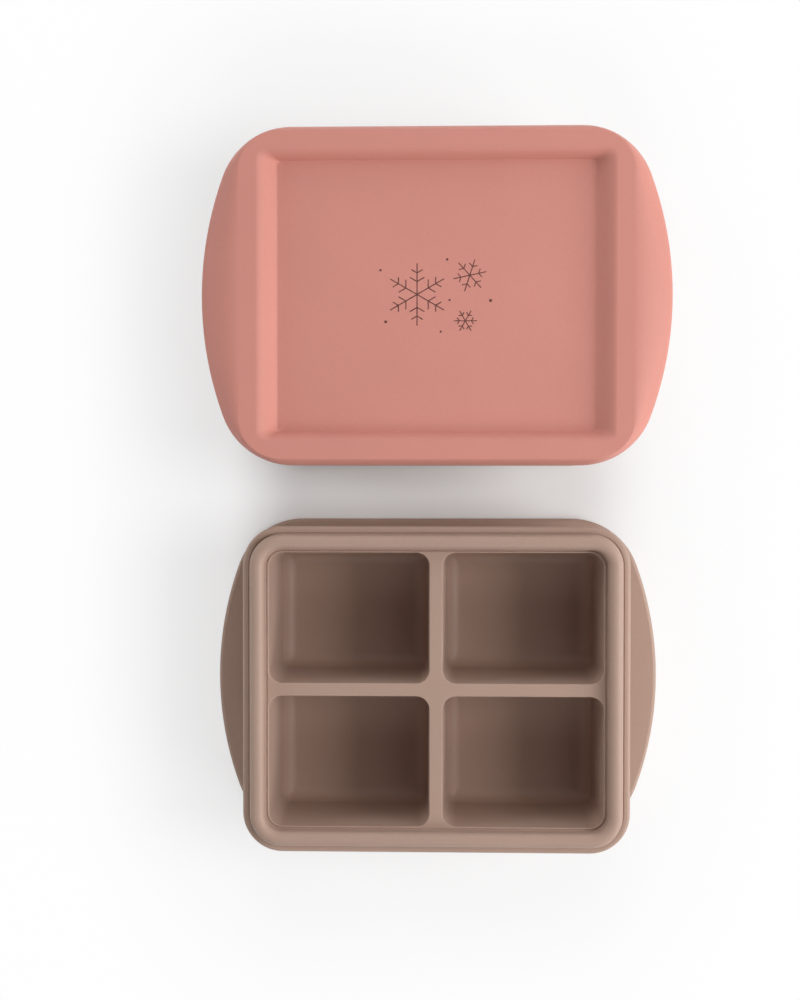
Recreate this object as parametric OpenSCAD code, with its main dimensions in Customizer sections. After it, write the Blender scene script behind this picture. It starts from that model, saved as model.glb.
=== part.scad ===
// Freezer trays for baby food, a set of two. Each tray is one soft moulding: four deep
// square cups, a rim with a raised sealing bead, and a foot plate with two ears. One
// tray stands closed under its lid, and the other stands open in front of it.
// Millimetres, +Z up, origin on the table at the middle of the set.

/* [Cups] */
// Length of one cup's opening, side to side
cup_x = 55.5; // [40:0.5:75]
// Width of one cup's opening, front to back
cup_y = 45.1; // [32:0.1:62]
// Depth of a cup, from its edge down to its floor
cup_depth = 38.5; // [25:0.5:50]
// How far each cup wall leans in from the edge down to the floor
cup_taper = 1.3; // [0.5:0.1:3]
// Radius of a cup's upright corners, at the floor
cup_corner = 3.4; // [3.2:0.1:8]
// Radius between a cup's walls and its floor
cup_fillet = 3; // [1:0.1:3.1]
// Radius that softens a cup's edge
cup_lip = 0.7; // [0.3:0.1:0.9]
// Thickness of the dividers between cups, at the top
divider_t = 4.5; // [3:0.1:8]
// Thickness of the outer walls
wall_t = 3.2; // [2:0.1:5]
// Thickness of the floor under the cups
floor_t = 3.5; // [2:0.1:6]

/* [Rim] */
// Width of the shelf between the cups' edge and the bead
shelf_w = 1.1; // [0.9:0.1:3]
// Width of the sealing bead that runs round the rim
bead_w = 5.2; // [4:0.1:8]
// Height of the bead above the shelf
bead_h = 5; // [4:0.1:8]
// Radius of the bead's two top edges
bead_r = 2.5; // [0.5:0.1:2.5]
// Width of the flat ledge outside the bead
ledge_w = 2.8; // [2:0.1:6]
// Thickness of the flange that carries the bead and the ledge
flange_t = 2.6; // [2:0.1:5]
// Radius between the outer wall and the flange above it
flange_fillet = 1.6; // [0.5:0.1:2.5]

/* [Foot plate] */
// Thickness of the foot plate
plate_t = 3; // [2:0.1:3.4]
// Radius of the plate's upper edge
plate_edge = 1.4; // [0.4:0.1:1.8]
// Radius between the outer wall and the plate below it
plate_fillet = 2; // [0.5:0.1:4]

/* [Lid] */
// Thickness of the lid's sunk panel and of its skin over the bead
lid_skin = 2; // [1.4:0.1:3]
// Thickness of the lid at its outer edge
lid_edge_t = 2.2; // [1.6:0.1:4]
// How far the lid's flat ridge stays inside the ledge, at the front and back
ridge_in = 1; // [0.5:0.1:1.4]
// How far in from the bead the sunk panel's floor begins, at the sides
panel_side = 4.6; // [4:0.1:12]
// How far in from the bead the sunk panel's floor begins, at the front and back
panel_front = 2.2; // [1.8:0.1:12]
// Width of the slope round the sunk panel, at the sides
slope_side = 7.2; // [3:0.1:8]
// Width of the slope round the sunk panel, at the front and back
slope_front = 3.6; // [2:0.1:4]
// Radius of the sunk panel's corners
panel_corner = 3; // [2:0.1:6]
// Gap between the lid and the tray round the bead
lid_gap = 0.3; // [0.2:0.05:0.5]

/* [Outline of the foot plate and the lid] */
// How far the outline stands out past the ledge at the front and back
outline_front = 1.4; // [0.6:0.1:6]
// How far each ear stands out past the ledge
outline_ear = 13.7; // [10:0.1:25]
// Radius of the round end of an ear
ear_r = 119; // [100:1:160]
// Radius of the outline's four corners
ear_corner = 25.5; // [18:0.5:32]

/* [Set] */
// Free space on the table between the two foot plates
set_gap = 19.5; // [8:0.1:80]

/* [Hidden] */
$fn = 96;
TRAY_COLOUR = [0.70, 0.58, 0.52];
LID_COLOUR = [0.86, 0.56, 0.51];
OVER = 1;           // how far a cutter runs past the face that it cuts
SIDE_STEPS = 7;     // steps along half of a ring's side
CORNER_STEPS = 10;  // and round its corner
BEAD_FLAT = 0.2;    // least flat left on top of the bead
FRONT_BEND = 1.6;   // bends the panel's front and back slopes in, off the bead's channel
EDGE_ROUND = 0.55;  // share of the lid's edge thickness that is rounded off

// Shares of the way from the lid's ridge out to its edge
SHOULDER_AIM = 0.3;     // where the straight fall would meet the ridge's height
SHOULDER_END = 0.45;    // where the round shoulder ends and the fall begins
EDGE_START = 0.9;       // where the fall gives way to the rounded edge

// Heights
cup_edge_z = floor_t + cup_depth;
flange_z = cup_edge_z - flange_t;
bead_top_z = cup_edge_z + bead_h;
panel_z = cup_edge_z + lid_gap;         // underside of the lid's panel
ridge_z = bead_top_z + lid_gap + lid_skin;

// Four cups, seen from above. An axis is the centre line of a round upright corner.
cup_open_r = cup_corner + cup_taper;    // a cup's corner radius at its edge
cup_axis_x = cup_x - 2 * cup_open_r;    // from axis to axis of one cup
cup_axis_y = cup_y - 2 * cup_open_r;
pitch_x = cup_x + divider_t;
pitch_y = cup_y + divider_t;
axis_x = pitch_x + cup_axis_x;          // from axis to axis of the whole tray
axis_y = pitch_y + cup_axis_y;

// Rim, as radii from the axis of the tray's corner
bead_in = cup_open_r + shelf_w;
bead_out = bead_in + bead_w;
ledge_out = bead_out + ledge_w;
half_x = axis_x / 2 + ledge_out;        // half sizes of the rim
half_y = axis_y / 2 + ledge_out;
panel_x = axis_x / 2 + bead_in - panel_side;    // half sizes of the lid's sunk panel
panel_y = axis_y / 2 + bead_in - panel_front;

outline_x = half_x + outline_ear;       // half sizes of the foot plate and of the lid
outline_y = half_y + outline_front;

// Middles of the two trays
closed_y = outline_y + set_gap / 2;
open_y = -closed_y;

function wall_at(z) = cup_corner + (z - floor_t) * cup_taper / cup_depth;
lean = atan(cup_taper / cup_depth);

// Upright round corners: the children are a half section, x out from a corner's axis and
// y up, which runs along the four sides and turns round the four corners.
module frame_of(len_x, len_y) {
    for (i = [0 : 3]) {
        across = i % 2 == 0 ? len_x : len_y;
        along = i % 2 == 0 ? len_y : len_x;
        rotate([0, 0, 90 * i]) {
            translate([across / 2, 0, 0]) rotate([90, 0, 0])
                linear_extrude(along, center = true) children();
            translate([across / 2, along / 2, 0])
                rotate_extrude(angle = 90) children();
        }
    }
}

// The same with its middle filled, from height z0 to z1
module block_of(len_x, len_y, z0, z1) {
    frame_of(len_x, len_y) children();
    translate([-len_x / 2, -len_y / 2, z0]) cube([len_x, len_y, z1 - z0]);
}

// Half section of a cup, from its floor to OVER above its edge
module cup_section() {
    fillet_x = wall_at(floor_t + cup_fillet) - cup_fillet / cos(lean);
    touch_x = fillet_x + cup_fillet * cos(lean);
    touch_z = floor_t + cup_fillet * (1 - sin(lean));
    lip_z = cup_edge_z - cup_lip;
    lip_x = wall_at(lip_z);
    polygon([[0, floor_t], [fillet_x, floor_t], [touch_x, touch_z], [lip_x, lip_z], [0, lip_z]]);
    intersection() {
        translate([fillet_x, floor_t + cup_fillet]) circle(cup_fillet);
        translate([fillet_x, floor_t]) square(cup_fillet);
    }
    difference() {
        translate([0, lip_z]) square([lip_x + cup_lip, cup_lip + OVER]);
        translate([lip_x + cup_lip, lip_z]) circle(cup_lip);
    }
}

// Half section of the outer wall with the flange on top
module wall_section() {
    out = wall_t / cos(lean);
    foot_x = wall_at(plate_t) + out;
    neck_x = wall_at(flange_z) + out;
    edge = flange_t / 2;
    polygon([[0, 0], [wall_at(0) + out, 0], [neck_x, flange_z],
        [ledge_out - edge, flange_z], [ledge_out - edge, cup_edge_z], [0, cup_edge_z]]);
    translate([ledge_out - edge, flange_z + edge]) circle(edge);
    translate([foot_x, plate_t]) fillet(plate_fillet);
    translate([neck_x, flange_z]) mirror([0, 1]) fillet(flange_fillet);
}

// A fillet of radius r for the corner at the origin, sunk into both of its walls
module fillet(r) {
    difference() {
        translate([-wall_t / 2, -wall_t / 4]) square([r + wall_t / 2, r + wall_t / 4]);
        translate([r, r]) circle(r);
    }
}

// Half section of the bead, or of the channel that takes it with a gap all round
module bead_section(gap = 0) {
    top = bead_top_z + gap;
    r = min(bead_r, (bead_w - BEAD_FLAT) / 2) + gap;
    difference() {
        translate([bead_in - gap, flange_z]) square([bead_w + 2 * gap, top - flange_z]);
        for (side = [bead_in - gap, bead_out + gap - r])
            translate([side, top - r]) square(r);
    }
    for (x = [bead_in - gap + r, bead_out + gap - r])
        translate([x, top - r]) circle(r);
}

// A ring at height z, all round from its right side and its upper right corner, which are
// lists of points that run anticlockwise. Rings built so match point for point.
function ring_of(side, corner, z) =
    let (back = [for (i = [len(corner) - 1 : -1 : 0]) corner[i]])
    [for (p = concat(
        side, corner,
        [for (p = back) [-p[0], p[1]]],
        [for (p = side) [-p[0], -p[1]]],
        [for (p = corner) [-p[0], -p[1]]],
        [for (p = back) [p[0], -p[1]]])) [p[0], p[1], z]];

// The outline with its two ears, all arcs, drawn in by inset
function eared_ring(inset, z) =
    let (
        ear_x = outline_x - ear_r,
        cy = outline_y - ear_corner,
        cx = ear_x + sqrt(pow(ear_r - ear_corner, 2) - cy * cy),
        meet = atan2(cy, cx - ear_x))
    ring_of(
        [for (i = [-SIDE_STEPS : SIDE_STEPS])
            let (a = meet * i / SIDE_STEPS)
            [ear_x + (ear_r - inset) * cos(a), (ear_r - inset) * sin(a)]],
        [for (i = [1 : CORNER_STEPS])
            let (a = meet + (90 - meet) * i / CORNER_STEPS)
            [cx + (ear_corner - inset) * cos(a), cy + (ear_corner - inset) * sin(a)]],
        z);

// A rectangle of half sizes hx and hy whose corners have the radii rx and ry
function rounded_ring(hx, hy, rx, ry, z) =
    ring_of(
        [for (i = [-SIDE_STEPS : SIDE_STEPS]) [hx, (hy - ry) * i / SIDE_STEPS]],
        [for (i = [1 : CORNER_STEPS])
            let (a = 90 * i / CORNER_STEPS)
            [hx - rx + rx * cos(a), hy - ry + ry * sin(a)]],
        z);

// A solid through rings that match point for point, from the lowest to the highest
module loft(rings) {
    n = len(rings[0]);
    top = (len(rings) - 1) * n;
    polyhedron(
        points = [for (ring = rings, p = ring) p],
        faces = concat(
            [[for (i = [0 : n - 1]) (i + n - 1) % n]],
            [for (k = [0 : len(rings) - 2], i = [0 : n - 1], half = [0, 1])
                let (low = k * n + i, next = k * n + (i + 1) % n)
                half == 0 ? [low, low + n, next + n] : [low, next + n, next]],
            [[for (i = [n - 1 : -1 : 0]) top + i]]));
}

// The lowest rings of a plate at height z, whose lower edge is softened by the radius r
function low_edge(z, r) =
    [for (a = [0 : 45 : 90]) eared_ring(r * (1 - sin(a)), z + r * (1 - cos(a)))];

module foot_plate() {
    loft(concat(
        low_edge(0, plate_edge / 3),
        [for (a = [0 : 22.5 : 90])
            eared_ring(plate_edge * (1 - cos(a)), plate_t - plate_edge * (1 - sin(a)))]));
}

module tray() {
    color(TRAY_COLOUR) difference() {
        union() {
            foot_plate();
            block_of(axis_x, axis_y, 0, cup_edge_z) wall_section();
            frame_of(axis_x, axis_y) bead_section();
        }
        for (sx = [-1, 1], sy = [-1, 1])
            translate([sx * pitch_x / 2, sy * pitch_y / 2, 0])
                block_of(cup_axis_x, cup_axis_y, floor_t, cup_edge_z + OVER) cup_section();
    }
}

// A ring that lies the given share of the way from ring a out to ring b, at height z
function between(a, b, share, z) =
    [for (i = [0 : len(a) - 1])
        [a[i][0] + (b[i][0] - a[i][0]) * share, a[i][1] + (b[i][1] - a[i][1]) * share, z]];

// Point t of a curve that leaves a towards b and reaches c from b
function bend(a, b, c, t) = (1 - t) * (1 - t) * a + 2 * t * (1 - t) * b + t * t * c;

// The lid's outer form: from the eared edge it rises to a round shoulder and a flat ridge
module lid_blank() {
    edge_z = cup_edge_z + lid_edge_t;       // where the fall would meet the outline
    fall = (ridge_z - edge_z) / (1 - SHOULDER_AIM);
    shoulder_z = ridge_z - fall * (SHOULDER_END - SHOULDER_AIM);
    start_z = ridge_z - fall * (EDGE_START - SHOULDER_AIM);
    ridge = rounded_ring(half_x, half_y - ridge_in, ledge_out, ledge_out, 0);
    outline = eared_ring(0, 0);
    loft(concat(
        low_edge(cup_edge_z, lid_edge_t / 4),
        [for (t = [0 : 0.25 : 1])
            let (p = bend([1, edge_z - lid_edge_t * EDGE_ROUND], [1, edge_z],
                [EDGE_START, start_z], t))
            between(ridge, outline, p[0], p[1])],
        [for (t = [0 : 0.125 : 1])
            let (p = bend([SHOULDER_END, shoulder_z], [SHOULDER_AIM, ridge_z],
                [0, ridge_z], t))
            between(ridge, outline, p[0], p[1])]));
}

// The slope round the sunk panel at share t of its way out: half a wave, level at its foot
// and at its top
function slope_ring(t, raise = 0) =
    let (
        side = slope_side * t,
        front = slope_front * pow(t, FRONT_BEND),
        floor_z = panel_z + lid_skin)
    rounded_ring(panel_x + side, panel_y + front, panel_corner + side, panel_corner + front,
        floor_z + (ridge_z - floor_z) * t * t * (3 - 2 * t) + raise);

// What is cut away over the sunk panel
module lid_hollow() {
    loft(concat([for (t = [0 : 0.1 : 1]) slope_ring(t)], [slope_ring(1, OVER)]));
}

module lid() {
    color(LID_COLOUR) translate([0, closed_y, 0]) difference() {
        lid_blank();
        frame_of(axis_x, axis_y) bead_section(lid_gap);
        block_of(axis_x, axis_y, flange_z, panel_z)
            translate([0, flange_z]) square([bead_in, panel_z - flange_z]);
        lid_hollow();
    }
}

module closed_tray() { translate([0, closed_y, 0]) tray(); }

module open_tray() { translate([0, open_y, 0]) tray(); }

closed_tray();
lid();
open_tray();
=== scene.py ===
"""Looks of a set of two baby food freezer trays, seen from straight above.

Both trays and the lid are meshed again from the part's own sizes, with finer edges, and are
shown in place of its solids. Sizes are in millimetres, and turned into metres when an object
is made.
"""

import math

import bmesh
import bpy
import numpy as np
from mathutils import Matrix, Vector
from mathutils.geometry import tessellate_polygon


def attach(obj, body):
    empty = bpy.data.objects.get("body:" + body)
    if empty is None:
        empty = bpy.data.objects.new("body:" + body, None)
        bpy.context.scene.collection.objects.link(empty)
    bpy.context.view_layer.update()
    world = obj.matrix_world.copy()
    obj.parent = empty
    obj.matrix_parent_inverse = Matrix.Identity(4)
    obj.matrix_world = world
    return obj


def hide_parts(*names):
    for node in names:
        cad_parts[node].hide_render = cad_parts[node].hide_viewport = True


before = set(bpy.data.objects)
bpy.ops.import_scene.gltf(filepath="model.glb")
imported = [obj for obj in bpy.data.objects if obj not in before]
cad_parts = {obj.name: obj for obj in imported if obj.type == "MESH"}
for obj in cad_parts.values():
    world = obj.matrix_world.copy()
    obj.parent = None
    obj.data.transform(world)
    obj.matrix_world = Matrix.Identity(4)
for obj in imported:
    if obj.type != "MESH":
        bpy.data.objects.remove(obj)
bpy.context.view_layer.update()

MM = 0.001

# ---------------------------------------------------------------- sizes of the part, in mm
CUP_X, CUP_Y = 55.5, 45.1
CUP_DEPTH, CUP_TAPER = 38.5, 1.3
CUP_CORNER, CUP_FILLET, CUP_LIP = 3.4, 5.2, 0.3     # a softer foot and a crisper lip
DIVIDER_T, WALL_T, FLOOR_T = 4.5, 3.2, 3.5
SHELF_W, BEAD_W, BEAD_H, BEAD_R = 1.1, 5.2, 5.0, 2.5
LEDGE_W, FLANGE_T, FLANGE_FILLET = 2.8, 2.6, 1.6
PLATE_T, PLATE_EDGE, PLATE_FILLET = 3.0, 1.4, 2.0
LID_SKIN, LID_EDGE_T, LID_GAP, RIDGE_IN = 2.0, 2.2, 0.3, 1.0
PANEL_SIDE, PANEL_FRONT = 4.6, 2.2
SLOPE_SIDE, SLOPE_FRONT, FRONT_BEND = 7.2, 3.6, 1.6
EDGE_START, EDGE_ROUND = 0.9, 0.55
OUTLINE_FRONT, OUTLINE_EAR = 1.4, 13.7
EAR_R, EAR_CORNER = 119.0, 25.5
SET_GAP = 19.5

# ---------------------------------------------------------------- curves of the looks alone
EAR_CURVE = 1.8         # power of the curve from the lid's ridge out to its edge
SLOPE_BIAS = 0.78       # below 1, the panel's slope is steeper at its foot than at its top
PANEL_R = 1.2           # radius of the sunk panel's corners at its floor, in mm
PANEL_R_GROWS = (3, 2)  # what the slope's top adds to it along x and y
FOOT_R = 0.35           # radius of small fillets and grooves
LEAST_R = 1.0           # least radius of a cup's corner
PLATE_LOW_R = PLATE_EDGE / 3    # lower edge of the foot plate
LID_LOW_R = LID_EDGE_T / 4      # lower edge of the lid

# ---------------------------------------------------------------- what follows from them
EDGE_Z = FLOOR_T + CUP_DEPTH
FLANGE_Z = EDGE_Z - FLANGE_T
BEAD_TOP = EDGE_Z + BEAD_H
PANEL_Z = EDGE_Z + LID_GAP
PANEL_TOP = PANEL_Z + LID_SKIN
RIDGE_Z = BEAD_TOP + LID_GAP + LID_SKIN
LEAN = math.atan(CUP_TAPER / CUP_DEPTH)
CUP_OPEN_R = CUP_CORNER + CUP_TAPER
CUP_AXIS = (CUP_X / 2 - CUP_OPEN_R, CUP_Y / 2 - CUP_OPEN_R)
PITCH = (CUP_X + DIVIDER_T, CUP_Y + DIVIDER_T)
AXIS = (PITCH[0] / 2 + CUP_AXIS[0], PITCH[1] / 2 + CUP_AXIS[1])
BEAD_IN = CUP_OPEN_R + SHELF_W
BEAD_OUT = BEAD_IN + BEAD_W
LEDGE_OUT = BEAD_OUT + LEDGE_W
HALF = (AXIS[0] + LEDGE_OUT, AXIS[1] + LEDGE_OUT)
PANEL = (AXIS[0] + BEAD_IN - PANEL_SIDE, AXIS[1] + BEAD_IN - PANEL_FRONT)
OUTLINE = (HALF[0] + OUTLINE_EAR, HALF[1] + OUTLINE_FRONT)
CLOSED_Y = OUTLINE[1] + SET_GAP / 2
OPEN_Y = -CLOSED_Y

# ---------------------------------------------------------------- fineness of the meshes
SIDE_STEPS = 10     # along half of a ring's right or left side
TOP_STEPS = 24      # along its front or back side
CORNER_STEPS = 14   # round one corner
WALL_STEPS = 8      # down a wall
EAR_STEPS = 24      # from the lid's ridge out to its edge
EDGE_STEPS = 8      # round the lid's edge
SLOPE_STEPS = 40    # down the slope to the sunk panel
CAP_SHARE = 0.96    # size of the ring inside a cap
WELD = 1e-7         # points nearer than this become one, in metres
SHARP = 38          # degrees from which an edge is shaded sharp


# ---------------------------------------------------------------- rings
def ring_of(side, corner, top, z):
    """A closed ring from its right side, its upper right corner and its back side."""
    side, corner, top = (np.array(p, float) for p in (side, corner, top))
    flat = np.vstack([
        side,
        corner,
        top,
        corner[::-1] * (-1, 1),
        side * (-1, -1),
        corner * (-1, -1),
        top * (-1, -1),
        corner[::-1] * (1, -1),
    ])
    return np.column_stack([flat, np.full(len(flat), float(z))])


def across(x):
    """Points of a ring's back side, without its ends, from x to -x."""
    return [x - 2 * x * i / TOP_STEPS for i in range(1, TOP_STEPS)]


def rounded(axis, r, z, ry=None):
    """A rounded rectangle: axis is the place of its corners' axes, r their radius."""
    ry = r if ry is None else ry
    side = [(axis[0] + r, axis[1] * i / SIDE_STEPS) for i in range(-SIDE_STEPS, SIDE_STEPS + 1)]
    turn = [math.radians(90 * i / CORNER_STEPS) for i in range(1, CORNER_STEPS + 1)]
    corner = [(axis[0] + r * math.cos(a), axis[1] + ry * math.sin(a)) for a in turn]
    return ring_of(side, corner, [(x, axis[1] + ry) for x in across(axis[0])], z)


def eared(inset, z):
    """The outline with two round ears, drawn in by inset."""
    ear_x, cy = OUTLINE[0] - EAR_R, OUTLINE[1] - EAR_CORNER
    cx = ear_x + math.sqrt((EAR_R - EAR_CORNER) ** 2 - cy * cy)
    meet = math.atan2(cy, cx - ear_x)
    turn = [meet * i / SIDE_STEPS for i in range(-SIDE_STEPS, SIDE_STEPS + 1)]
    r = EAR_R - inset
    side = [(ear_x + r * math.cos(a), r * math.sin(a)) for a in turn]
    turn = [meet + (math.pi / 2 - meet) * i / CORNER_STEPS for i in range(1, CORNER_STEPS + 1)]
    r = EAR_CORNER - inset
    corner = [(cx + r * math.cos(a), cy + r * math.sin(a)) for a in turn]
    return ring_of(side, corner, [(x, OUTLINE[1] - inset) for x in across(cx)], z)


def quarter(steps):
    """Angles of a quarter turn down from 90 degrees to 0."""
    return [math.radians(90 - 90 * k / steps) for k in range(steps + 1)]


def low_edge(z, r):
    """Down round the lower edge of a plate whose underside is at height z."""
    return [eared(r * (1 - math.sin(a)), z + r * (1 - math.cos(a))) for a in quarter(4)]


# ---------------------------------------------------------------- curves of half sections
def bend(a, b, c, t):
    """Point t of a curve that leaves a towards b and reaches c from b."""
    return [(1 - t) ** 2 * p + 2 * t * (1 - t) * q + t * t * r for p, q, r in zip(a, b, c)]


def arc(cx, cz, r, start, end, steps):
    """Points of an arc, in degrees, both ends included."""
    return [
        (cx + r * math.cos(math.radians(a)), cz + r * math.sin(math.radians(a)))
        for a in np.linspace(start, end, steps + 1)
    ]


def wall_at(z):
    """How far a cup's wall stands out from its corner's axis at height z."""
    return CUP_CORNER + (z - FLOOR_T) * CUP_TAPER / CUP_DEPTH


def wall(high_z, low_z, out=0):
    """Points down a wall that stands out past the cup's, without its ends."""
    heights = [high_z + (low_z - high_z) * k / WALL_STEPS for k in range(1, WALL_STEPS)]
    return [(wall_at(z) + out, z) for z in heights]


# ---------------------------------------------------------------- meshes and objects
def new_object(name, points, faces, y=0):
    """An object in the scene from points in millimetres, moved along Y by y."""
    mesh = bpy.data.meshes.new(name)
    mesh.from_pydata([(p[0] * MM, (p[1] + y) * MM, p[2] * MM) for p in points], [], faces)
    mesh.update()
    obj = bpy.data.objects.new(name, mesh)
    bpy.context.scene.collection.objects.link(obj)
    return obj


class Skin:
    """Rings joined to one closed surface."""

    def __init__(self):
        self.points, self.faces = [], []

    def ring(self, points, shift=(0, 0)):
        first = len(self.points)
        self.points += [(p[0] + shift[0], p[1] + shift[1], p[2]) for p in points]
        return list(range(first, len(self.points)))

    def bridge(self, a, b):
        n = len(a)
        self.faces += [(a[i], a[(i + 1) % n], b[(i + 1) % n], b[i]) for i in range(n)]

    def run(self, rings, shift=(0, 0)):
        """Joins rings one after the other, and returns the first and the last."""
        made = [self.ring(r, shift) for r in rings]
        for a, b in zip(made, made[1:]):
            self.bridge(a, b)
        return made[0], made[-1]

    def cap(self, ring):
        """Closes a flat ring with a narrow band of quads round one flat face."""
        pts = np.array([self.points[i] for i in ring])
        middle = pts.mean(0)
        inner = self.ring(middle + (pts - middle) * CAP_SHARE)
        self.bridge(ring, inner)
        self.faces.append(tuple(inner))

    def fill(self, outer, holes):
        """Closes the flat surface between an outer ring and its holes."""
        loops = [outer, *holes]
        flat = [[Vector(self.points[i]) for i in loop] for loop in loops]
        order = [i for loop in loops for i in loop]
        self.faces += [tuple(order[k] for k in t) for t in tessellate_polygon(flat)]

    def to_object(self, name, y):
        """An object with outward faces and smooth shading, its flat faces kept flat."""
        obj = new_object(name, self.points, self.faces, y)
        bm = bmesh.new()
        bm.from_mesh(obj.data)
        bmesh.ops.remove_doubles(bm, verts=bm.verts, dist=WELD)
        bmesh.ops.recalc_face_normals(bm, faces=bm.faces)
        bm.to_mesh(obj.data)
        bm.free()
        obj.data.shade_smooth()
        obj.data.set_sharp_from_angle(angle=math.radians(SHARP))
        normals = obj.modifiers.new("even normals", "WEIGHTED_NORMAL")
        normals.keep_sharp = True
        return obj


# ---------------------------------------------------------------- the tray
def cup_rings():
    """From a cup's edge down to its floor, as rings round the cup's middle."""
    lip_z = EDGE_Z - CUP_LIP
    foot_z = FLOOR_T + CUP_FILLET
    foot_x = wall_at(foot_z) - CUP_FILLET / math.cos(LEAN)
    lip = arc(wall_at(lip_z) + CUP_LIP, lip_z, CUP_LIP, 90, 180, 6)
    foot = arc(foot_x, foot_z, CUP_FILLET, -math.degrees(LEAN), -90, 10)
    rings = []
    for x, z in lip + wall(lip[-1][1], foot[0][1]) + foot:
        r = max(x, LEAST_R)
        rings.append(rounded([a + x - r for a in CUP_AXIS], r, z))
    return rings


def rim_section():
    """From the shelf over the bead, round the flange and down the wall to the plate."""
    out = WALL_T / math.cos(LEAN)
    edge = FLANGE_T / 2
    high_z, low_z = FLANGE_Z - FLANGE_FILLET, PLATE_T + PLATE_FILLET
    neck_x = wall_at(FLANGE_Z) + out + FLANGE_FILLET
    base_x = wall_at(low_z) + out + PLATE_FILLET
    s = arc(BEAD_IN - FOOT_R, EDGE_Z, FOOT_R, -180, 0, 8)
    s += arc(BEAD_IN + BEAD_R, BEAD_TOP - BEAD_R, BEAD_R, 180, 90, 12)
    s += arc(BEAD_OUT - BEAD_R, BEAD_TOP - BEAD_R, BEAD_R, 90, 0, 12)
    s += arc(BEAD_OUT + FOOT_R, EDGE_Z, FOOT_R, 180, 360, 8)
    s += arc(LEDGE_OUT - edge, FLANGE_Z + edge, edge, 90, -90, 12)
    s += arc(neck_x, high_z, FLANGE_FILLET, 90, 180, 6)
    s += wall(high_z, low_z, out)
    s += arc(base_x, low_z, PLATE_FILLET, 180, 270, 6)
    return s


def plate_rings():
    """Round the foot plate's edge, from its top down to its underside."""
    r = PLATE_EDGE
    turn = quarter(7)
    rings = [eared(r * (1 - math.cos(a)), PLATE_T - r * (1 - math.sin(a))) for a in turn]
    return rings + low_edge(0, PLATE_LOW_R)


def tray(name, y):
    skin = Skin()
    holes = []
    for sx in (-1, 1):
        for sy in (-1, 1):
            shift = (sx * PITCH[0] / 2, sy * PITCH[1] / 2)
            edge, floor = skin.run(cup_rings(), shift)
            skin.cap(floor)
            holes.append(edge)
    rings = [rounded(AXIS, x, z) for x, z in rim_section()]
    shelf, base = skin.run(rings + plate_rings())
    skin.fill(shelf, holes)
    skin.cap(base)
    return skin.to_object(name, y)


# ---------------------------------------------------------------- the lid
def lid_side_rings():
    """From the flat ridge out over the shoulder and the ear, and round the edge."""
    edge_z = EDGE_Z + LID_EDGE_T
    drop = RIDGE_Z - edge_z
    shares = np.linspace(0, EDGE_START, EAR_STEPS + 1)
    profile = [(f, RIDGE_Z - drop * f**EAR_CURVE) for f in shares]
    # round the edge, on from the curve's own direction
    start_z = profile[-1][1]
    fall = drop * EAR_CURVE * EDGE_START ** (EAR_CURVE - 1)
    start, aim = (EDGE_START, start_z), (1, start_z - fall * (1 - EDGE_START))
    end = (1, edge_z - LID_EDGE_T * EDGE_ROUND)
    profile += [bend(start, aim, end, t) for t in np.linspace(0, 1, EDGE_STEPS + 1)[1:]]
    ridge = rounded(AXIS, LEDGE_OUT, 0, LEDGE_OUT - RIDGE_IN)
    outline = eared(0, 0)
    rings = []
    for share, z in profile:
        ring = ridge + (outline - ridge) * share
        ring[:, 2] = z
        rings.append(ring)
    return rings + low_edge(EDGE_Z, LID_LOW_R)


def lid_hollow_rings():
    """From the ridge down the slope to the sunk panel's floor, with crisp mitred corners."""
    rings = []
    for t in np.linspace(1, 0, SLOPE_STEPS + 1):
        side, front = SLOPE_SIDE * t, SLOPE_FRONT * t**FRONT_BEND
        wave = t**SLOPE_BIAS
        z = PANEL_TOP + (RIDGE_Z - PANEL_TOP) * wave * wave * (3 - 2 * wave)
        rx, ry = (PANEL_R + grows * t for grows in PANEL_R_GROWS)
        rings.append(rounded((PANEL[0] + side - rx, PANEL[1] + front - ry), rx, z, ry))
    return rings


def lid_under_rings():
    """From the lid's middle, up into the bead's channel and out to the edge."""
    top, r = BEAD_TOP + LID_GAP, BEAD_R + LID_GAP
    inner, outer = BEAD_IN - LID_GAP, BEAD_OUT + LID_GAP
    s = arc(inner - FOOT_R, PANEL_Z + FOOT_R, FOOT_R, -90, 0, 3)
    s += arc(inner + r, top - r, r, 180, 90, 8)
    s += arc(outer - r, top - r, r, 90, 0, 8)
    s += arc(outer + FOOT_R, EDGE_Z + FOOT_R, FOOT_R, 180, 270, 3)
    return [rounded(AXIS, x, z) for x, z in s]


def lid(name, y):
    skin = Skin()
    under_first, under_last = skin.run(lid_under_rings())
    side_first, side_last = skin.run(lid_side_rings())
    hollow_first, hollow_last = skin.run(lid_hollow_rings())
    skin.bridge(under_last, side_last)
    skin.bridge(side_first, hollow_first)
    skin.cap(hollow_last)
    skin.cap(under_first)
    return skin.to_object(name, y)


# ---------------------------------------------------------------- the print on the lid
PRINT_UP = 0.03         # how far the print stands up from the sunk panel, in mm
PRINT_DOWN = 0.05       # how far it goes into it
PRINT_STEP = 0.0005     # how much higher each stroke ends than the one before
END_TURN = 30           # degrees between two points of a stroke's round end
DOT_SIDES = 16
ARMS = 6

# place, length of an arm, twigs as (share of the arm, share of its length), width, turn
FLAKES = (
    (-6.5, 0.5, 10.5, ((0.42, 0.26), (0.70, 0.20)), 0.36, 30),
    (11.5, 7.0, 5.6, ((0.55, 0.28),), 0.32, 12),
    (10.0, -8.5, 3.8, ((0.55, 0.30),), 0.30, 0),
)
# place and radius
DOTS = (
    (3.8, 12.4, 0.42),
    (18.6, -1.6, 0.5),
    (-19.0, 8.8, 0.42),
    (-17.2, -8.8, 0.5),
    (4.6, -1.4, 0.36),
    (1.6, -12.2, 0.36),
)


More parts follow.
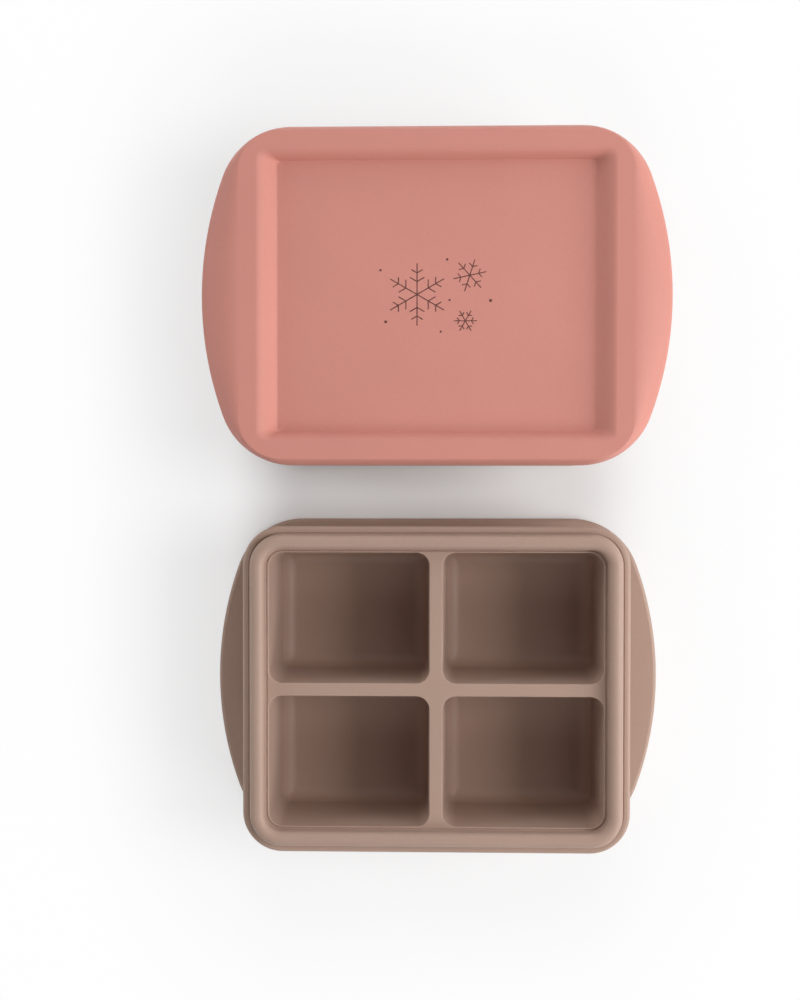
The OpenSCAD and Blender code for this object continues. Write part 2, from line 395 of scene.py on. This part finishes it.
class Print:
    """Thin raised strokes on the sunk panel, seated a little way into it."""

    def __init__(self):
        self.points, self.faces, self.count = [], [], 0

    def raise_outline(self, outline):
        """A flat island; each one ends a little higher, so that no two tops share a plane."""
        n, first = len(outline), len(self.points)
        top = PANEL_TOP + PRINT_UP + PRINT_STEP * self.count
        self.count += 1
        self.points += [(x, y, PANEL_TOP - PRINT_DOWN) for x, y in outline]
        self.points += [(x, y, top) for x, y in outline]
        self.faces.append(tuple(range(first + n, first + 2 * n)))
        self.faces.append(tuple(range(first + n - 1, first - 1, -1)))
        for i in range(n):
            a, b = first + i, first + (i + 1) % n
            self.faces.append((a, b, b + n, a + n))

    def stroke(self, start, end, width):
        """A straight line with round ends."""
        along = math.atan2(end[1] - start[1], end[0] - start[0])
        outline = []
        for (x, y), turn in ((end, -90), (start, 90)):
            for k in range(180 // END_TURN + 1):
                a = along + math.radians(turn + END_TURN * k)
                outline.append((x + width / 2 * math.cos(a), y + width / 2 * math.sin(a)))
        self.raise_outline(outline)

    def dot(self, x, y, r):
        turn = [math.radians(360 / DOT_SIDES * k) for k in range(DOT_SIDES)]
        self.raise_outline([(x + r * math.cos(a), y + r * math.sin(a)) for a in turn])

    def flake(self, x, y, r, twigs, width, turn):
        """A snow crystal with twigs at both sides of each arm."""
        between = math.radians(360 / ARMS)
        for k in range(ARMS):
            a = math.radians(turn) + between * k
            self.stroke((x, y), (x + r * math.cos(a), y + r * math.sin(a)), width)
            for at, size in twigs:
                foot = (x + r * at * math.cos(a), y + r * at * math.sin(a))
                for side in (-1, 1):
                    b = a + side * between
                    tip = (foot[0] + r * size * math.cos(b), foot[1] + r * size * math.sin(b))
                    self.stroke(foot, tip, width)


def lid_print(name, y):
    art = Print()
    for flake in FLAKES:
        art.flake(*flake)
    for dot in DOTS:
        art.dot(*dot)
    return new_object(name, art.points, art.faces, y)


# ---------------------------------------------------------------- nodes
def put(tree, value, socket):
    """Links another node's output to a socket, or sets the socket to a plain value."""
    if isinstance(value, bpy.types.NodeSocket):
        tree.links.new(value, socket)
    else:
        socket.default_value = value


def node(tree, kind, place=(0, 0), **inputs):
    """A node; its inputs are plain values or other nodes' outputs."""
    made = tree.nodes.new(kind)
    made.location = place
    for key, value in inputs.items():
        put(tree, value, made.inputs[key.replace("_", " ")])
    return made


def maths(tree, operation, a, b, place=(0, 0)):
    """The result of a Math node on two numbers or outputs."""
    made = node(tree, "ShaderNodeMath", place)
    made.operation = operation
    put(tree, a, made.inputs[0])
    put(tree, b, made.inputs[1])
    return made.outputs[0]


def blend(tree, kind, factor, a, b, place):
    """Colour a, with colour b laid over it by a factor."""
    made = node(tree, "ShaderNodeMix", place)
    made.data_type = "RGBA"
    made.blend_type = kind
    # a Mix node has its colours at these places, after those for numbers and vectors
    for socket, value in ((0, factor), (6, a), (7, b)):
        put(tree, value, made.inputs[socket])
    return made.outputs[2]


def ramp(tree, value, stops, place, ease=False):
    """Colours between stops, which are (place on the ramp, colour)."""
    made = node(tree, "ShaderNodeValToRGB", place, Fac=value)
    line = made.color_ramp
    if ease:
        line.interpolation = "EASE"
    for element, (where, colour) in zip(line.elements, (stops[0], stops[-1])):
        element.position, element.color = where, (*colour, 1)
    for where, colour in stops[1:-1]:
        line.elements.new(where).color = (*colour, 1)
    return made.outputs["Color"]


def grey(level):
    return (level, level, level)


def shade(colour, k):
    return tuple(c * k for c in colour)


def new_material(name, place):
    """A material, its empty node tree and its output's surface socket."""
    mat = bpy.data.materials.new(name)
    mat.use_nodes = True
    mat.node_tree.nodes.clear()
    out = node(mat.node_tree, "ShaderNodeOutputMaterial", place)
    return mat, mat.node_tree, out.inputs["Surface"]


# ---------------------------------------------------------------- materials
LID_COLOUR = (0.630, 0.260, 0.211)
TRAY_COLOUR = (0.425, 0.290, 0.230)
INK_DARK, INK_PALE = (0.100, 0.030, 0.024), (0.150, 0.050, 0.040)
TINT = 0.02             # how far the pigment's clouds go to both sides of its colour
SPECKLE = 0.10          # strength of the fine speckle
DUST_REACH = 0.028      # size of a speck against the cells that hold it
DUST_FROM = 0.93        # share of the cells without a speck
DUST_COVER = 0.35       # how much of the colour below a speck hides


def silicone(name, base, smooth, matte):
    """Matte moulded silicone: fine mould grain, soft waves, faint shifts of colour, dust."""
    mat, tree, surface = new_material(name, (900, 0))
    where = node(tree, "ShaderNodeTexCoord", (-1300, 0)).outputs["Object"]

    def noise(scale, detail, rough, place):
        return node(
            tree, "ShaderNodeTexNoise", place,
            Vector=where, Scale=scale, Detail=detail, Roughness=rough,
        ).outputs["Fac"]

    # broad, faint shifts of the pigment
    cloud = noise(22, 3, 0.55, (-1000, 300))
    clouds = [(0.3, shade(base, 1 - TINT)), (0.5, base), (0.72, shade(base, 1 + TINT))]
    tint = ramp(tree, cloud, clouds, (-700, 300))
    # fine speckle of the matte skin
    speckle = noise(1500, 2, 0.6, (-1000, 60))
    grain = ramp(tree, speckle, [(0.2, grey(0.25)), (0.8, grey(0.75))], (-700, 60))
    skin = blend(tree, "SOFT_LIGHT", SPECKLE, tint, grain, (-350, 250))
    # a few specks of dust, as silicone holds
    cells = node(tree, "ShaderNodeTexVoronoi", (-1000, -160), Vector=where, Scale=130)
    chance = node(tree, "ShaderNodeSeparateColor", (-780, -320), Color=cells.outputs["Color"])
    near = maths(tree, "LESS_THAN", cells.outputs["Distance"], DUST_REACH, (-780, -160))
    rare = maths(tree, "GREATER_THAN", chance.outputs[0], DUST_FROM, (-600, -320))
    dust = maths(tree, "MULTIPLY", near, rare, (-420, -220))
    cover = maths(tree, "MULTIPLY", dust, DUST_COVER, (-260, -220))
    dust_colour = (*[min(1, c * 0.6 + 0.25) for c in base], 1)
    colour = blend(tree, "MIX", cover, skin, dust_colour, (-100, 200))
    # the skin is a little smoother here and there, as from handling
    worn = noise(38, 4, 0.6, (-1000, -480))
    rough = node(
        tree, "ShaderNodeMapRange", (-700, -480), Value=worn, To_Min=smooth, To_Max=matte
    )
    # soft waves of the moulding, and the mould's fine grain on top of them
    waves = node(
        tree, "ShaderNodeBump", (0, -500),
        Strength=0.35, Distance=0.0004, Height=noise(70, 1, 0.4, (-1000, -700)),
    )
    pores = node(
        tree, "ShaderNodeBump", (250, -500),
        Strength=0.22, Distance=0.00003, Height=noise(3200, 2, 0.6, (-1000, -900)),
        Normal=waves.outputs["Normal"],
    )
    bsdf = node(
        tree, "ShaderNodeBsdfPrincipled", (600, 0),
        Base_Color=colour, Roughness=rough.outputs["Result"], Normal=pores.outputs["Normal"],
        IOR=1.41, Specular_IOR_Level=0.42, Sheen_Weight=0.06, Sheen_Roughness=0.4,
    )
    tree.links.new(bsdf.outputs["BSDF"], surface)
    return mat


def print_ink():
    """Dark brown print, a little uneven, matte as the silicone round it."""
    mat, tree, surface = new_material("brown print", (600, 0))
    coords = node(tree, "ShaderNodeTexCoord", (-700, 0))
    worn = node(
        tree, "ShaderNodeTexNoise", (-500, 0),
        Vector=coords.outputs["Object"], Scale=420, Detail=3,
    )
    tone = ramp(tree, worn.outputs["Fac"], [(0.35, INK_DARK), (0.7, INK_PALE)], (-250, 0))
    bsdf = node(tree, "ShaderNodeBsdfPrincipled", (300, 0), Base_Color=tone, Roughness=0.6)
    tree.links.new(bsdf.outputs["BSDF"], surface)
    return mat


lid_mat = silicone("lid silicone", LID_COLOUR, smooth=0.50, matte=0.62)
tray_mat = silicone("tray silicone", TRAY_COLOUR, smooth=0.38, matte=0.50)

# ---------------------------------------------------------------- pieces on their bodies
for piece, material, slot, body in (
    (tray("closed_tray_moulding", CLOSED_Y), tray_mat, "tray_silicone", "closed_tray"),
    (lid("lid_moulding", CLOSED_Y), lid_mat, "lid_silicone", "lid"),
    (tray("open_tray_moulding", OPEN_Y), tray_mat, "tray_silicone", "open_tray"),
):
    piece.data.materials.append(material)
    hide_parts(body)
    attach(piece, body)
motif = lid_print("lid_print", CLOSED_Y)
motif.data.materials.append(print_ink())
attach(motif, "lid")
for cad_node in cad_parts.values():
    material = lid_mat if cad_node.name == "lid" else tray_mat
    for spot in cad_node.material_slots:
        spot.material = material

# ---------------------------------------------------------------- floor
FLOOR_HALF = 3000       # half the floor's side, in mm
PAPER = (0.92, 0.92, 0.925, 1)
WHITE = (1, 1, 1, 1)
BOX_POWER = 4           # squareness of the box round the set from which the floor fades
# half of the distance from the set, where 1 is its own edge, and how white the camera sees it;
# this painted light washes out the floor's cast shadow away from the set
FADE = ((0.30, grey(0)), (0.50, grey(0.60)), (0.90, grey(0.97)))


def floor_material():
    """A pale studio floor, which fades to plain white for the camera away from the set, as
    painted light over its cast shadow there; near the set the shadow is the lamps' own.
    """
    mat, tree, surface = new_material("pale floor", (600, 0))
    coords = node(tree, "ShaderNodeTexCoord", (-1400, 0))
    split = node(tree, "ShaderNodeSeparateXYZ", (-1200, 0), Vector=coords.outputs["Object"])
    # 1 along a rounded box round the set, less inside it
    powers = []
    for place, half in zip(split.outputs, (OUTLINE[0], CLOSED_Y + OUTLINE[1])):
        raised = maths(tree, "POWER", maths(tree, "ABSOLUTE", place, 0), BOX_POWER)
        powers.append(maths(tree, "DIVIDE", raised, (half * MM) ** BOX_POWER))
    away = maths(tree, "POWER", maths(tree, "ADD", *powers), 1 / BOX_POWER)
    fade = ramp(tree, maths(tree, "DIVIDE", away, 2), FADE, (-500, 0), ease=True)
    path = node(tree, "ShaderNodeLightPath", (-400, 200))
    paper = node(tree, "ShaderNodeBsdfDiffuse", (0, 0), Color=PAPER)
    glow = node(tree, "ShaderNodeEmission", (0, -150), Color=WHITE, Strength=1.0)
    # painted light: away from the set the camera sees white in place of the floor's shadow
    share = maths(tree, "MULTIPLY", path.outputs["Is Camera Ray"], fade)
    mix = node(tree, "ShaderNodeMixShader", (350, 0), Fac=share)
    tree.links.new(paper.outputs[0], mix.inputs[1])
    tree.links.new(glow.outputs[0], mix.inputs[2])
    tree.links.new(mix.outputs[0], surface)
    return mat


corners = [(x * FLOOR_HALF, y * FLOOR_HALF, 0) for x, y in ((-1, -1), (1, -1), (1, 1), (-1, 1))]
floor = new_object("floor", corners, [(0, 1, 2, 3)])
floor.data.materials.append(floor_material())

# ---------------------------------------------------------------- world
HORIZON, ABOVE = 0.55, 0.17     # strength of the room's light low down and overhead
FALL = (0.20, 0.32)             # sines of the elevations between which it changes


def pale_room():
    """A world that is brighter near the horizon than overhead, and white for the camera."""
    world = bpy.data.worlds.new("studio")
    bpy.context.scene.world = world
    world.use_nodes = True
    tree = world.node_tree
    tree.nodes.clear()
    out = node(tree, "ShaderNodeOutputWorld", (600, 0))
    coords = node(tree, "ShaderNodeTexCoord", (-900, 0))
    split = node(tree, "ShaderNodeSeparateXYZ", (-700, 0), Vector=coords.outputs["Generated"])
    fall = node(
        tree, "ShaderNodeMapRange", (-500, 0),
        Value=split.outputs[2], From_Min=FALL[0], From_Max=FALL[1],
        To_Min=HORIZON, To_Max=ABOVE,
    )
    around = node(
        tree, "ShaderNodeBackground", (0, 0), Color=WHITE, Strength=fall.outputs["Result"]
    )
    seen = node(tree, "ShaderNodeBackground", (0, -150), Color=WHITE, Strength=1.0)
    path = node(tree, "ShaderNodeLightPath", (-300, 250))
    mix = node(tree, "ShaderNodeMixShader", (350, 0), Fac=path.outputs["Is Camera Ray"])
    tree.links.new(around.outputs[0], mix.inputs[1])
    tree.links.new(seen.outputs[0], mix.inputs[2])
    tree.links.new(mix.outputs[0], out.inputs["Surface"])


pale_room()

# ---------------------------------------------------------------- lamps
LAMP_AWAY = 1.3     # distance of each lamp from the set's middle, in metres
LAMP_SIZE = 0.5     # side of each lamp, in metres
# name, azimuth from +X towards +Y and elevation in degrees, power in watts
LAMPS = (
    ("key overhead", 0, 65, 1.1),
    ("key high", 0, 45, 6.0),
    ("key low", 0, 25, 4.2),
    ("key front", -30, 25, 4.2),
    ("front", -90, 45, 2.4),
    ("back", 90, 45, 1.6),
    ("back low", 90, 20, 2.8),
    ("left back", 150, 20, 2.3),
    ("left low", 180, 15, 1.6),
)


def softbox(name, azimuth, elevation, power):
    """A square lamp that looks at the set."""
    lamp = bpy.data.lights.new(name, "AREA")
    lamp.shape = "SQUARE"
    lamp.size = LAMP_SIZE
    lamp.energy = power
    obj = bpy.data.objects.new(name, lamp)
    a, e = math.radians(azimuth), math.radians(elevation)
    towards = Vector((math.cos(a) * math.cos(e), math.sin(a) * math.cos(e), math.sin(e)))
    obj.location = towards * LAMP_AWAY
    obj.rotation_euler = (-towards).to_track_quat("-Z", "Y").to_euler()
    bpy.context.scene.collection.objects.link(obj)


for lamp in LAMPS:
    softbox(*lamp)

# ---------------------------------------------------------------- camera
SENSOR, LENS = 36, 71.93                    # in mm
CAMERA_AT = (0.00564, 0.00869, 0.5913)      # in metres, almost straight above the set
CAMERA_TURN = (-0.0197, 0.0328, 0.0004)     # in radians, from looking straight down

camera_data = bpy.data.cameras.new("camera")
camera_data.sensor_fit = "HORIZONTAL"
camera_data.sensor_width = SENSOR
camera_data.lens = LENS
camera = bpy.data.objects.new("camera", camera_data)
camera.location = CAMERA_AT
camera.rotation_euler = CAMERA_TURN
bpy.context.scene.collection.objects.link(camera)
bpy.context.scene.camera = camera
bpy.context.scene.view_settings.view_transform = "Standard"
